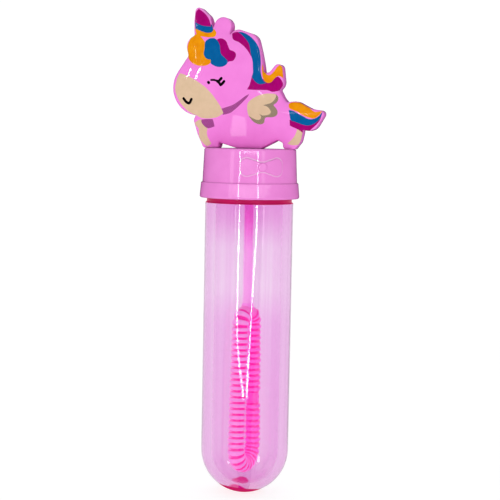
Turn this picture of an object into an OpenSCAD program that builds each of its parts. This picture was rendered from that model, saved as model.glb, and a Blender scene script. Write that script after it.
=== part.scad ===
// Bubble wand: a clear round-bottomed tube, a push-on cap with a pull lip, a ribbed wand that hangs from
// the cap and a winged-unicorn figure in two moulded halves on top.
// Millimetres. Z runs up the tube from the lowest point of its round bottom. The figure faces -Y.

/* [Tube] */
// Outer diameter of the tube
tube_d = 28; // [26:0.5:32]
// Wall thickness of the tube
tube_wall = 3.4; // [2.4:0.1:4]
// Thickness of the round bottom at its lowest point
floor_t = 2.9; // [1.5:0.1:5]
// Height of the tube from its lowest point to its shoulder
tube_h = 93.4; // [80:0.1:140]
// Bevel round the tube's shoulder
shoulder_bevel = 0.4; // [0.2:0.1:0.4]
// Wall thickness of the neck that the cap covers
neck_wall = 2; // [1.4:0.1:2.4]
// Height of the neck above the stop collar
neck_h = 13.2; // [10:0.1:16]
// Bevel round the neck's rim
rim_bevel = 0.3; // [0.1:0.1:0.6]
// How far the stop collar stands out from the neck
collar_out = 0.9; // [0.4:0.1:1.2]
// Height of the stop collar
collar_h = 1; // [0.6:0.1:3]
// Diameter of the gate mark under the bottom
gate_d = 4.6; // [2:0.1:7]
// Depth of the gate mark, measured at the tube's axis
gate_depth = 0.4; // [0.3:0.05:0.8]

/* [Cap] */
// Wall of the cap at the top of its skirt
cap_wall = 1.9; // [1.4:0.1:3]
// Thickness of the cap's top
cap_top_t = 1.8; // [1.2:0.1:3]
// Extra radius of the skirt at its foot
skirt_draft = 0.45; // [0:0.05:1]
// Height of the pull lip
lip_h = 4.95; // [2:0.05:7]
// How far the lip's top edge stands out from the skirt
lip_out = 0.45; // [0.2:0.05:1.2]
// How much the lip flares from its top edge to its foot
lip_flare = 0.35; // [0:0.05:1]
// Rounding of the cap's outer edges
cap_round = 0.6; // [0.2:0.1:1]
// Radial clearance of the cap on the neck
push_gap = 0.06; // [0.02:0.01:0.1]
// Gap between the lip and the stop collar
lip_gap = 0.15; // [0.1:0.05:0.5]
// Lead-in bevel at the mouth of the cap
mouth_bevel = 0.4; // [0.2:0.1:0.6]
// Diameter of the boss that holds the wand
boss_d = 7; // [6:0.1:9]
// Length of the boss below the cap's top
boss_h = 12; // [8:0.5:16]
// Web between the figure's tab and the end of the stem
socket_web = 0.8; // [0.5:0.1:2]
// Radial clearance of the stem in its socket
socket_gap = 0.04; // [0.02:0.01:0.1]

/* [Bow] */
// Direction of the raised bow round the cap, counted from -Y towards +X
bow_turn = 28; // [-180:1:180]
// Width of the bow
bow_w = 13; // [8:0.5:16]
// Height of the bow at the ends of its loops
bow_h = 5.2; // [3:0.1:7]
// Height of the loops where they meet the knot
bow_waist = 1.9; // [1:0.1:2.6]
// Diameter of the knot
knot_d = 2.8; // [2:0.1:4]
// How far the bow is raised
bow_raise = 0.35; // [0.2:0.05:0.4]
// Height of the bow's middle above the lip
bow_z = 5.1; // [4:0.1:6.5]

/* [Liner] */
// Thickness of the sealing ring on the neck's rim
liner_t = 0.8; // [0.5:0.1:2]
// Radial clearance of the sealing ring in the cap
liner_gap = 0.15; // [0.1:0.05:0.4]

/* [Wand] */
// Diameter of the stem
stem_d = 2.9; // [2.2:0.1:3.6]
// Gap between the loop and the floor of the tube
loop_floor_gap = 3.6; // [1:0.1:10]
// Height of the loop
loop_h = 54.7; // [36:0.5:60]
// Width of the loop over its ribs
loop_w = 17; // [14:0.5:18]
// Width and depth of the loop's bar over its ribs
bar_w = 4.6; // [3.6:0.1:5]
// Height of the ribs
rib_h = 0.5; // [0.3:0.05:0.8]
// Thickness of one rib
rib_t = 1; // [0.6:0.05:1.1]
// Distance from rib to rib
rib_pitch = 1.85; // [1.6:0.05:3]
// Height of the plain stretch above the loop's foot
plain_from = 22; // [16:0.5:30]
// Length of the plain stretch
plain_h = 3.4; // [0:0.2:8]
// Turn of the loop about the stem
loop_turn = -13; // [-20:1:20]

/* [Figure] */
// Height of the figure on the cap
figure_h = 44; // [36:0.2:60]
// Shift of the figure along the cap's top
figure_shift = 0; // [-1:0.1:1]
// Thickness of the figure at its edge
figure_t = 5.2; // [4:0.1:7]
// Rounding of the figure's edges
edge_round = 0.8; // [0.3:0.1:1.2]
// Thickness of the head at its fullest
head_t = 10; // [8:0.2:14]
// Thickness of the muzzle at its fullest
muzzle_t = 9.2; // [7:0.2:13]
// Thickness of the rump at its fullest
rump_t = 9; // [7:0.2:12]
// Thickness of the chest and belly at their fullest
belly_t = 8.6; // [7:0.2:12]
// Share of a swollen part's width over which it swells
swell_share = 0.82; // [0.7:0.01:0.9]
// Thickness over the forelock
forelock_t = 8.6; // [7:0.2:12]
// How far mane, tail and forelock stand out
relief = 0.35; // [0.2:0.05:0.8]
// Gap along the seam between the two halves
seam_gap = 0.04; // [0.02:0.01:0.1]
// Diameter of the pegs that locate the two halves
peg_d = 2.2; // [1.6:0.1:3]
// Length of the locating pegs
peg_h = 1.6; // [1:0.1:2]
// Clearance round the locating pegs
peg_gap = 0.06; // [0.04:0.01:0.2]
// Width of the tab that plugs into the cap
tab_w = 4.6; // [3:0.1:5.2]
// Thickness of the tab
tab_t = 2.4; // [1.6:0.1:3]
// Depth of the tab in the cap
tab_depth = 3; // [2:0.1:4]
// Clearance round the tab
tab_gap = 0.1; // [0.05:0.05:0.2]

/* [Hidden] */
$fn = 64;

// Room that a cut runs past the solid it cuts
over = 1;
// Largest share of a small step or disc that its rounding may take
round_share = 0.8;

// Radii and levels, from the bottom up
tube_r = tube_d / 2;
bore_r = tube_r - tube_wall;
neck_r = bore_r + neck_wall;
collar_r = neck_r + collar_out;
collar_top = tube_h + collar_h;
neck_top = collar_top + neck_h;
cap_under = neck_top + liner_t;
cap_top = cap_under + cap_top_t;
lip_foot = collar_top + lip_gap;
lip_top = lip_foot + lip_h;
cap_bore_r = neck_r + push_gap;
skirt_top_r = cap_bore_r + cap_wall;
skirt_foot_r = skirt_top_r + skirt_draft;
lip_top_r = skirt_foot_r + lip_out;
lip_foot_r = lip_top_r + lip_flare;
lip_round = min(cap_round, lip_out * round_share);
tab_end = cap_top - tab_depth;
stem_end = tab_end - tab_gap - socket_web;
boss_end = cap_under - boss_h;
stem_r = stem_d / 2;

// The loop's centre line is two straight runs and two half circles
loop_foot = floor_t + loop_floor_gap;
loop_top = loop_foot + loop_h;
bend_r = (loop_w - bar_w) / 2;
bend_low = loop_foot + loop_w / 2;
bend_high = loop_top - loop_w / 2;
run_h = bend_high - bend_low;
run_ribs = floor(run_h / rib_pitch);
bend_ribs = floor(PI * bend_r / rib_pitch);
core_w = bar_w - 2 * rib_h;

// The figure is drawn at this height, as discs of [x, height above the cap, radius]
drawn_h = 44.4;
figure_k = figure_h / drawn_h;
horn = [[-17.1, 43.2, 1.2], [-15.9, 40.1, 2.7], [-15.3, 36.5, 3.2], [-13.5, 31, 4]];
ear = [[-9.1, 38.6, 2.8], [-10, 35.5, 3.2]];
cranium = [-10.1, 23, 11.9];
muzzle = [-16.4, 19, 8.9];
forelock = [[-17.1, 32, 3.8], [-16.7, 28.9, 3.5]];
forelock_blue = [[-13.1, 32, 2.4], [-12.6, 29.6, 2.4], [-10.3, 28, 2.2]];
forelock_red = [[-9.7, 33, 1.7], [-8.4, 30.9, 1.5], [-6.5, 29.2, 1.5]];
mane = [[-4, 34.4, 3.1], [-1, 33, 3.5], [0.2, 29.5, 3.2], [0.7, 25.5, 3.5], [1.9, 22, 2.8],
        [4.8, 21.2, 2.7], [7.8, 21.2, 3.1], [9, 25.3, 1.4]];
mane_outer = [[-3.4, 35.2, 1.5], [0.5, 32.8, 1.7], [1.8, 29, 1.2], [2, 25, 1.3], [3, 21.9, 1.5]];
mane_curl = [[4.5, 22.6, 0.8], [6.2, 21.9, 1.1], [8.3, 23.4, 1.1], [9.1, 25.2, 0.9]];
mane_lower = [[1.2, 19.8, 1], [4.8, 19.7, 1], [8.7, 20.3, 1.2]];
chest = [-7.8, 7.8, 6.4];
belly = [0.5, 5.6, 6.6];
rump = [5.6, 10, 8.1];
withers = [2, 14.5, 5];
back = [[1.5, 17.6, 2], [4, 16.6, 2], [8.2, 17.3, 1.9], [8, 13, 4]];
front_leg = [[-12.8, 9.6, 1.8], [-16.2, 8.7, 2], [-14.8, 5.2, 2.3], [-12.5, 1.4, 2.8]];
hind_leg = [[11, 6.2, 3.9], [14.2, 3.6, 2.7], [13.2, 1.5, 2.2]];
hind_hoof = [[14.2, 3.6, 2.7], [15.4, 5.9, 2]];
tail = [[12, 11.4, 3.4], [14.8, 11.8, 3.3], [17, 10.4, 3.5], [19.1, 9.4, 3.5], [22.8, 11.2, 1.2]];
tail_upper = [[14.2, 13.7, 1.1], [17, 12.9, 1.2], [20, 11.1, 1], [22.6, 11.5, 0.7]];
tail_middle = [[14.3, 11, 1.1], [17.4, 10, 1.2], [20.6, 9, 1.2]];
tail_lower = [[14.8, 8.6, 1], [18, 7.2, 1.1], [20.6, 7.4, 0.9]];
wing = [[[2, 13.6, 2.5], [5.5, 15.5, 1.8], [8.2, 16.4, 0.9]],
        [[2.6, 12.4, 2.6], [7, 11.8, 1.7]],
        [[1.6, 11.6, 2.2], [3.7, 9.2, 1.5]]];
pegs = [[-12, 22], [-6, 8], [6, 10]];

// A revolve's profile turns its corners with quarter rounds of this many steps
round_steps = 5;
function quarter(cx, cz, r, from) =
    [for (k = [0 : round_steps]) [cx + r * cos(from + 90 * k / round_steps),
                                  cz + r * sin(from + 90 * k / round_steps)]];

// Round-bottomed tube with its shoulder, stop collar and neck
module tube() {
    color([0.93, 0.72, 0.88, 0.5])
    difference() {
        union() {
            translate([0, 0, tube_r]) sphere(r = tube_r);
            translate([0, 0, tube_r]) cylinder(r = tube_r, h = tube_h - shoulder_bevel - tube_r);
            translate([0, 0, tube_h - shoulder_bevel])
                cylinder(r1 = tube_r, r2 = tube_r - shoulder_bevel, h = shoulder_bevel);
            translate([0, 0, tube_h - over]) cylinder(r = collar_r, h = collar_h + over);
            translate([0, 0, collar_top - over]) cylinder(r = neck_r, h = neck_h - rim_bevel + over);
            translate([0, 0, neck_top - rim_bevel])
                cylinder(r1 = neck_r, r2 = neck_r - rim_bevel, h = rim_bevel);
        }
        translate([0, 0, floor_t + bore_r]) sphere(r = bore_r);
        translate([0, 0, floor_t + bore_r]) cylinder(r = bore_r, h = neck_top);
        translate([0, 0, -over]) cylinder(d = gate_d, h = over + gate_depth);
    }
}

// Outside of the cap as one revolve: skirt, rounded top edge and flared lip
module cap_outside() {
    rotate_extrude()
    polygon(concat(
        [[0, lip_foot]],
        quarter(lip_foot_r - cap_round, lip_foot + cap_round, cap_round, -90),
        quarter(lip_top_r - lip_round, lip_top - lip_round, lip_round, 0),
        [[skirt_foot_r, lip_top]],
        quarter(skirt_top_r - cap_round, cap_top - cap_round, cap_round, 0),
        [[0, cap_top]]));
}

// One loop of the bow, from the knot to its round end
module bow_loop() {
    tip_r = bow_h / 3;
    tip_x = bow_w / 2 - tip_r;
    tip_z = bow_h / 2 - tip_r;
    polygon(concat(
        [[0, -bow_waist / 2]],
        quarter(tip_x, -tip_z, tip_r, -90),
        quarter(tip_x, tip_z, tip_r, 0),
        [[0, bow_waist / 2]]));
}

// Raised bow, cut to lie evenly on the tapered skirt and rooted in its wall
module bow() {
    root = sqrt(pow(skirt_top_r, 2) - pow(bow_w / 2, 2)) - cap_wall / 4;
    reach = 2 * (skirt_foot_r - root);
    intersection() {
        rotate([0, 0, bow_turn])
        translate([0, -root, lip_top + bow_z])
        rotate([90, 0, 0]) {
            linear_extrude(reach) bow_loop();
            mirror([1, 0, 0]) linear_extrude(reach) bow_loop();
            cylinder(d = knot_d, h = reach);
        }
        translate([0, 0, lip_top])
            cylinder(r1 = skirt_foot_r + bow_raise, r2 = skirt_top_r + bow_raise, h = cap_top - lip_top);
    }
}

// Push-on cap with the wand's socket below its top and the slot for the figure's tab above
module cap() {
    color([0.95, 0.57, 0.88])
    difference() {
        union() {
            difference() {
                union() {
                    cap_outside();
                    bow();
                }
                translate([0, 0, lip_foot - over])
                    cylinder(r = cap_bore_r, h = cap_under - lip_foot + over);
                translate([0, 0, lip_foot])
                    cylinder(r1 = cap_bore_r + mouth_bevel, r2 = cap_bore_r, h = mouth_bevel);
            }
            translate([0, 0, boss_end]) cylinder(d = boss_d, h = boss_h + cap_top_t / 2);
        }
        translate([0, 0, boss_end - over])
            cylinder(r = stem_r + socket_gap, h = stem_end - boss_end + over);
        translate([-tab_w / 2 - tab_gap, -tab_t / 2 - tab_gap, tab_end - tab_gap])
            cube([tab_w + 2 * tab_gap, tab_t + 2 * tab_gap, tab_depth + over]);
    }
}

// Soft ring that seals the neck's rim against the cap
module cap_liner() {
    color([0.97, 0.95, 0.97])
    translate([0, 0, neck_top])
    difference() {
        cylinder(r = cap_bore_r - liner_gap, h = liner_t);
        translate([0, 0, -over]) cylinder(r = bore_r, h = liner_t + 2 * over);
    }
}

// Outline of a long loop with round ends, at a given distance from its centre line
module loop_outline(off) {
    square([2 * (bend_r + off), run_h], center = true);
    for (end = [-1, 1]) translate([0, end * run_h / 2]) circle(r = bend_r + off);
}

// One rib: an eight-sided collar round the bar, across the Z axis
module rib() {
    half_side = 180 / 8;
    rotate([0, 0, half_side])
        cylinder(d = bar_w / cos(half_side), h = rib_t, center = true, $fn = 8);
}

// Stem and long ribbed loop, one moulding that hangs from the cap
module wand() {
    color([0.98, 0.25, 0.74])
    rotate([0, 0, loop_turn]) {
        translate([0, 0, loop_top - bar_w / 2]) cylinder(r = stem_r, h = stem_end - loop_top + bar_w / 2);
        translate([0, 0, (bend_low + bend_high) / 2])
        rotate([90, 0, 90])
        linear_extrude(core_w, center = true)
        difference() {
            loop_outline(core_w / 2);
            loop_outline(-core_w / 2);
        }
        plain_z = loop_foot + plain_from;
        for (side = [-1, 1], k = [0 : run_ribs - 1]) {
            z = bend_low + run_h * (k + 0.5) / run_ribs;
            if (z < plain_z || z > plain_z + plain_h) translate([0, side * bend_r, z]) rib();
        }
        for (k = [0 : bend_ribs - 1]) {
            turn = 180 * (k + 0.5) / bend_ribs;
            translate([0, 0, bend_low]) rotate([-turn, 0, 0]) translate([0, bend_r, 0]) rib();
            if (abs(bend_r * cos(turn)) > stem_r + rib_t)
                translate([0, 0, bend_high]) rotate([turn, 0, 0]) translate([0, bend_r, 0]) rib();
        }
    }
}

// A flat disc with rounded edges, standing in the figure's plane
module puck(disc, half) {
    disc_r = disc[2] * figure_k;
    round_r = min(edge_round, disc_r * round_share);
    translate([disc[0], 0, disc[1]] * figure_k)
    rotate([90, 0, 0])
    for (turn = [0, 45, 90])
        cylinder(r = disc_r - round_r * (1 - cos(turn)),
                 h = 2 * (half - round_r * (1 - sin(turn))), center = true, $fn = 32);
}

// Discs joined one to the next into a limb or a lock
module chain(discs, half) {
    for (k = [0 : len(discs) - 2])
        hull() {
            puck(discs[k], half);
            puck(discs[k + 1], half);
        }
}

// A swollen lens over one disc, which its rim carries out to the disc's edge
module swell(disc, thick) {
    disc_r = disc[2] * figure_k * swell_share;
    translate([disc[0], 0, disc[1]] * figure_k) scale([disc_r, thick / 2, disc_r]) sphere(r = 1, $fn = 40);
}

// The whole figure before it is parted into halves
module figure() {
    flat = figure_t / 2;
    raised = flat + relief;
    hull() {
        for (disc = [cranium, muzzle]) puck(disc, flat);
        swell(cranium, head_t);
        swell(muzzle, muzzle_t);
    }
    hull() {
        for (disc = [chest, belly, rump]) puck(disc, flat);
        swell(rump, rump_t);
        for (disc = [chest, belly, withers]) swell(disc, belly_t);
    }
    for (limb = [horn, ear, front_leg, hind_leg, hind_hoof, mane, back, tail]) chain(limb, flat);
    for (lock = [mane_outer, mane_curl, mane_lower, tail_upper, tail_middle, tail_lower])
        chain(lock, raised);
    for (lock = [forelock, forelock_blue, forelock_red]) chain(lock, forelock_t / 2);
    for (feather = wing) chain(feather, rump_t / 2 + relief);
}

// One half of the figure, cut at the seam and level with the cap's top, with its half of the tab
module figure_half(side) {
    reach = 2 * figure_h;
    intersection() {
        union() {
            translate([figure_shift, 0, cap_top]) intersection() {
                figure();
                translate([-reach, -reach, 0]) cube([2 * reach, 2 * reach, reach]);
            }
            translate([-tab_w / 2, -tab_t / 2, tab_end])
                cube([tab_w, tab_t, tab_depth + belly[1] * figure_k]);
        }
        translate([-reach, side * (reach + seam_gap) / 2 - reach / 2, 0])
            cube([2 * reach, reach, cap_top + reach]);
    }
}

// Round pins across the seam that locate the two halves
module seam_pins(pin_r, from, to) {
    for (at = pegs)
        translate([figure_shift, 0, cap_top] + [at[0], 0, at[1]] * figure_k)
        translate([0, to, 0])
        rotate([90, 0, 0])
        cylinder(r = pin_r, h = to - from, $fn = 24);
}

// Front half of the figure, with the locating pegs
module topper_front() {
    color([0.96, 0.53, 0.88]) {
        figure_half(-1);
        seam_pins(peg_d / 2, -figure_t / 4, peg_h);
    }
}

// Back half of the figure, with the sockets for the pegs
module topper_back() {
    color([0.95, 0.58, 0.89])
    difference() {
        figure_half(1);
        seam_pins(peg_d / 2 + peg_gap, -over, peg_h + peg_gap);
    }
}

tube();
cap();
cap_liner();
wand();
topper_front();
topper_back();
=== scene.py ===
import math

import bmesh
import bpy
import numpy as np
from mathutils import Matrix, Vector
from mathutils.geometry import delaunay_2d_cdt


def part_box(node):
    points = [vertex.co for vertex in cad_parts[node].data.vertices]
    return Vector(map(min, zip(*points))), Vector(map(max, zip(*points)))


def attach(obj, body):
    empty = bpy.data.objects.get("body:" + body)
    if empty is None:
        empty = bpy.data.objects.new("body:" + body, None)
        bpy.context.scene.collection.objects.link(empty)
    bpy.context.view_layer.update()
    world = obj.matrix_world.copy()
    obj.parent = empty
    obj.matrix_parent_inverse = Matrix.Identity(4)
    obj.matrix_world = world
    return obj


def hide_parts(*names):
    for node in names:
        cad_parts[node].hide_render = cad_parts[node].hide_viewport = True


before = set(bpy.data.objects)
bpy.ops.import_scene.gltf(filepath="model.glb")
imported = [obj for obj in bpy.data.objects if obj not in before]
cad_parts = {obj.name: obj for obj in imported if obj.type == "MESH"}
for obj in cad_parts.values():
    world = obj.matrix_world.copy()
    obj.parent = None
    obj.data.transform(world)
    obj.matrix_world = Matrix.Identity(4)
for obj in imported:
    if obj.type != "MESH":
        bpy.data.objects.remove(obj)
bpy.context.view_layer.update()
MM = 0.001

# Camera: the photograph's viewing angle, in degrees and millimetres
CAMERA_AZIMUTH = 13.0
CAMERA_ELEVATION = 4.5
CAMERA_DISTANCE = 450.0
CAMERA_ROLL = 1.105
CAMERA_LENS = 101.74
TARGET_RIGHT = 0.5
TARGET_HEIGHT = 77.95

# Wand: its stem and the long ribbed loop, narrower at the top, in millimetres, degrees and shares
LOOP_FOOT = 6.5
LOOP_H = 54.7
LOOP_W = 17.0
LOOP_TOP_W = 14.4
BAR_W = 5.3
RIB_H = 0.5
RIB_T = 1.1
RIB_PITCH = 1.85
PLAIN_FROM = 22.0
PLAIN_H = 3.4
LOOP_TURN = -13.0
STEM_R = 1.45
STEM_FOOT = 0.5
STEM_FLARE = 0.45
STEM_FOOT_H = 2.1
STEM_FLARE_H = 1.6
STEM_BEVEL = 0.3
BAR_STEP = 0.16
BAR_SIDES = 28
BAR_SHARP = 50
RIB_SPREAD = 0.64
PLAIN_GAP = 0.6
PLAIN_SHADE = 0.66

# Tube: outer radius and the collar under the cap in millimetres, and the collar's inside as a share of it
TUBE_R = 14.0
COLLAR_LOW = 93.05
COLLAR_TOP = 94.45
COLLAR_INNER = 0.85

# Tube: slope and levels of the crimson glow along the bottom edge, which is painted light, in metres, and the
# gate mark's stretch with the shift after it
GLOW_SLOPE = (0.085, 0.1125, 0.997)
GLOW_CLEAR = 0.0022
GLOW_FULL = 0.0019
EDGE_DEPTH = 0.0017
MARK_SHIFT = (0.3, 0.36, 0)
MARK_STRETCH = (300, 145, 150)

# Bow: its place on the tapered skirt, its size, raised knot and edges, in millimetres and degrees
SKIRT_FOOT = 99.5
SKIRT_FOOT_R = 15.01
SKIRT_TOP_R = 14.56
BOW_TURN = 28.0
BOW_Z = 104.6
BOW_W = 13.16
BOW_H = 5.36
BOW_WAIST = 2.4
BOW_RAISE = 0.41
KNOT_R = 1.45
KNOT_RAISE = 0.72
BOW_ROOT = -0.15
BOW_EDGE = 0.12
BOW_EDGE_OUT = 0.03
KNOT_ROUND = 0.35
BOW_SPILL = 0.2
KNOT_SPILL = 0.15
BOW_PITCH = 0.1
BOW_MARGIN = 0.4

# Figure: wall, fillet and crown of its two halves, and the spacing of its points, in millimetres
CAP_TOP = 110.2
EDGE_HALF = 2.6
EDGE_FILLET = 0.4
CROWN = 2.35
CROWN_POWER = 0.68
SEAM_HALF = 0.02
SEAM_CHAMFER = 0.14
OUTLINE_STEP = 0.34
LEAST_GAP = 3.0
RIM_RINGS = (0.05, 0.14, 0.26, 0.42, 0.8, 1.2)
RIM_CLEAR = 1.5
PRINT_CLEAR = 0.16
RIM_LEAST = 0.94
FACE_PITCH = 0.85
FACE_ROW = 0.866
FACE_SHARP = 40

# Printed areas as [x, height above the cap] in millimetres, later ones over earlier ones
PRINT = [
    ("orange", [(-18, 38), (-15, 37), (-11.8, 37.2), (-10.9, 36.1), (-11, 35.2), (-11.6, 34.7),
        (-13.5, 34.6), (-15, 34.8), (-16.5, 35), (-17.6, 35.9)]),
    ("blue", [(-18.1, 40), (-15, 39), (-12.7, 38.6), (-11.9, 36.9), (-12.4, 36.2), (-13.9, 36),
        (-15.4, 36.4), (-16.7, 36.9), (-17.9, 37.4)]),
    ("magenta", [(-16.9, 43.6), (-17.7, 42.8), (-18, 41.5), (-18, 39.4), (-16.8, 38.8), (-15.5, 38.3),
        (-14, 38.1), (-12.8, 38), (-13.1, 39.2), (-13.8, 40.8), (-15, 42.2)]),
    ("orange", [(-17.2, 35.8), (-18.8, 35), (-19.9, 33.4), (-20.4, 31.4), (-20.2, 29.4), (-19.7, 27.7),
        (-18.3, 26.4), (-16.8, 25.8), (-15.3, 25.6), (-13.6, 25.8), (-12.4, 26.5), (-12, 27.8),
        (-13.6, 29.4), (-14, 31), (-14.2, 32.6), (-15, 33.9), (-16, 34.9)]),
    ("magenta", [(-10.5, 33.9), (-9.6, 34.3), (-8.5, 34.1), (-7.5, 33.3), (-6.9, 32), (-6.2, 30.7),
        (-5.3, 30.4), (-4.5, 29.9), (-4.2, 29.1), (-4.5, 28), (-5.2, 27.2), (-6.1, 27.1), (-7.2, 26.8),
        (-9.2, 28.4), (-10.2, 31), (-10.6, 32.6)]),
    ("blue", [(-14.4, 33), (-13.8, 33.8), (-12.7, 34.3), (-11.4, 34.3), (-10.3, 33.5), (-9.5, 32.1),
        (-9.3, 30.7), (-8.9, 29.3), (-7.6, 28.1), (-6.8, 27.2), (-6.9, 26.4), (-7.9, 25.6), (-9.4, 25.3),
        (-10.9, 25.6), (-12.3, 26.4), (-12.3, 27.6), (-13.2, 27.7), (-14.1, 28.2), (-14.7, 29.4),
        (-14.5, 31)]),
    ("magenta", [(-5.9, 35.8), (-5.2, 36.2), (-4, 36.3), (-2, 35.6), (-0.6, 33.9), (0.6, 31.4), (1, 29),
        (0.5, 28.7), (-0.4, 30.2), (-1.8, 31.8), (-3.5, 33.1), (-5.4, 34)]),
    ("magenta", [(1, 22.4), (3, 22), (6, 21.6), (9.1, 22.6), (10, 21.8), (10.6, 20.6), (10.4, 19.4),
        (9.6, 18.3), (8.4, 17.9), (7.4, 17.8), (6.3, 18.2), (4.6, 18.3), (2.2, 18.3), (-0.4, 18.4),
        (0.3, 19.6), (0.7, 21)]),
    ("blue", [(-4, 36.3), (-2.8, 36.3), (-1.2, 35.7), (0.4, 34.6), (1.8, 33.1), (2.7, 31.5), (3.2, 29.6),
        (3.5, 27.1), (3.6, 24.2), (4, 22.6), (4.6, 21.3), (5.6, 20.4), (3.5, 20.1), (2.3, 20.7),
        (1.3, 21.8), (1, 22.4), (1.3, 23.6), (1.2, 25.3), (1, 27.3), (0.4, 29.4), (-0.3, 32.5),
        (-1.4, 34.1), (-2.7, 35.4)]),
    ("orange", [(4, 26.7), (3.9, 25.4), (4, 23.8), (4.3, 22.4), (5, 21.1), (6.1, 20.5), (7.2, 20.9),
        (8, 21.9), (9, 22.7), (9.8, 22.6), (10.8, 22), (11, 23.1), (10.7, 24.5), (10.1, 25.8),
        (9.4, 26.2), (8.6, 25.4), (7.7, 24.1), (6.7, 23.1), (5.9, 23), (5.1, 23.6), (4.5, 25)]),
    ("hatch", [(-8.8, 12.2), (-6.6, 12.9), (-4.7, 13.6), (-2.7, 14.9), (-0.9, 16.3), (0.4, 17),
        (-0.2, 16), (-1.6, 14.5), (-3.1, 13), (-5, 11.4), (-6.2, 10.8), (-8, 10.4)]),
    ("tan", [(-22.7, 23.3), (-21.3, 23), (-19.6, 22.3), (-17.6, 21.4), (-15.6, 20.2), (-13.8, 18.9),
        (-11.9, 17.1), (-10.2, 15), (-8.9, 13.1), (-7.8, 10.9), (-9.8, 9.7), (-11.7, 9.3), (-13.7, 9.2),
        (-15.4, 9.4), (-16.6, 10), (-18.6, 10.7), (-20.4, 11.9), (-22, 13.5), (-23.2, 15.4),
        (-23.9, 17.1), (-24.2, 18.8), (-23.9, 20.3), (-23.5, 21.9)]),
    ("tan", [(-17.5, 7.8), (-16.4, 8.6), (-15.2, 8.9), (-14.6, 7.6), (-13.6, 6.8), (-13.2, 6),
        (-13.4, 4.7), (-13.2, 3.5), (-12.6, 2.4), (-12, 1.4), (-12.3, 1), (-13.5, 0.4), (-14.7, 1.4),
        (-15.6, 2.4), (-16.1, 3.7), (-16.2, 5.1), (-16.2, 6), (-16.8, 6.6), (-17.4, 7.3)]),
    ("hatch", [(-15.2, 8.8), (-13.3, 9), (-11.4, 9), (-11.1, 8.2), (-10.8, 6.7), (-12, 6.3), (-13, 6.1),
        (-14, 6.6), (-14.7, 7.3), (-15.2, 8)]),
    ("shade", [(-0.2, 12.7), (0, 14.1), (0.7, 15), (2.3, 16.1), (3.9, 16.8), (5.8, 17.2), (7.7, 17.2),
        (8.7, 17), (9.4, 16.2), (9.4, 15.3), (8.9, 14.4), (8, 13.7), (8.7, 12.9), (9.3, 12), (9.4, 11.1),
        (9, 10.4), (7.8, 9.9), (5.8, 9.8), (5.4, 9.3), (5.3, 8.4), (4.8, 7.8), (4, 7.6), (2.7, 7.9),
        (1.6, 8.6), (0.6, 9.8), (0, 11.1)]),
    ("tan", [(-0.2, 12.7), (0, 14.1), (0.7, 15), (2.3, 16.1), (3.9, 16.8), (5.8, 17.2), (7.7, 17.2),
        (8.6, 17), (8.7, 16.3), (8.3, 15.4), (7.4, 14.4), (6, 13.9), (4.8, 13.6), (5.7, 13.3), (6.4, 13),
        (6.9, 12.3), (7.3, 11.6), (7, 10.9), (6, 10.5), (4.7, 10.4), (3.7, 10.8), (4.2, 10.2), (4.2, 9.5),
        (3.7, 9), (2.5, 9.1), (1.3, 9.7), (0.4, 10.2), (0, 11.1)]),
    ("tan", [(15.6, 6.4), (17.3, 5.6), (18.4, 5.4), (18.1, 4.3), (17.4, 3), (16.8, 2.1), (15.9, 1.5),
        (14.6, 1.3), (13.5, 1.4), (12.5, 1.8), (13.5, 2.7), (14.4, 3.6), (15.1, 4.8)]),
    ("orange", [(12.7, 14), (13.1, 14.4), (14.3, 14.7), (16.3, 14.6), (17.4, 14.3), (18.7, 13.5),
        (19.8, 12.5), (20.9, 11.8), (22, 11.9), (23.3, 12), (22.7, 11.1), (21.7, 10.2), (20.6, 9.7),
        (19.5, 9.9), (18.4, 10.2), (17, 10.8), (15.7, 11.6), (14.2, 12.2), (13.2, 12.6), (12.8, 13.1)]),
    ("magenta", [(13.2, 9.2), (16.2, 8.6), (19, 8), (21.2, 8.8), (23.1, 10.7), (22.7, 9.4), (21.8, 8.1),
        (20.7, 7), (19.4, 5.9), (18.4, 5.3), (17.3, 5.2), (16.5, 5.8), (15.3, 6.5), (14.3, 6.9),
        (13.3, 7.4)]),
    ("blue", [(12.8, 12.2), (13.8, 12.1), (14.9, 11.7), (16.1, 11), (17.5, 10.3), (18.9, 9.6), (20, 9.5),
        (20.9, 9.7), (21.9, 10.2), (22.8, 11.1), (23.3, 11.9), (23.2, 11), (22.6, 9.7), (21.6, 8.6),
        (20.3, 7.8), (19, 7.5), (17.8, 7.6), (16.2, 8.1), (14.8, 8.6), (13.6, 9), (13.2, 10.3)]),
]
# Black strokes of the shut eye and the mouth: half width of the pen, then an open line
STROKES = [
    (0.47, [(-12.88, 20.54), (-12.72, 20.36)]),
    (0.33, [(-11.95, 21.25), (-11, 21.25), (-10.1, 21)]),
    (0.42, [(-10.1, 21), (-9.4, 20.45), (-8.85, 19.7)]),
    (0.45, [(-8.8, 19.75), (-8.2, 20.25), (-7.75, 20.85)]),
    (0.45, [(-9.25, 21.15), (-8.65, 21.8)]),
    (0.44, [(-21.2, 15.4), (-20.5, 14.5), (-19.7, 13.95), (-19.2, 14), (-18.8, 14.6), (-18.5, 15.2)]),
]
# Turn of a printed outline above which its point stays a corner
CORNER_TURN = math.radians(58)


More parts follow.
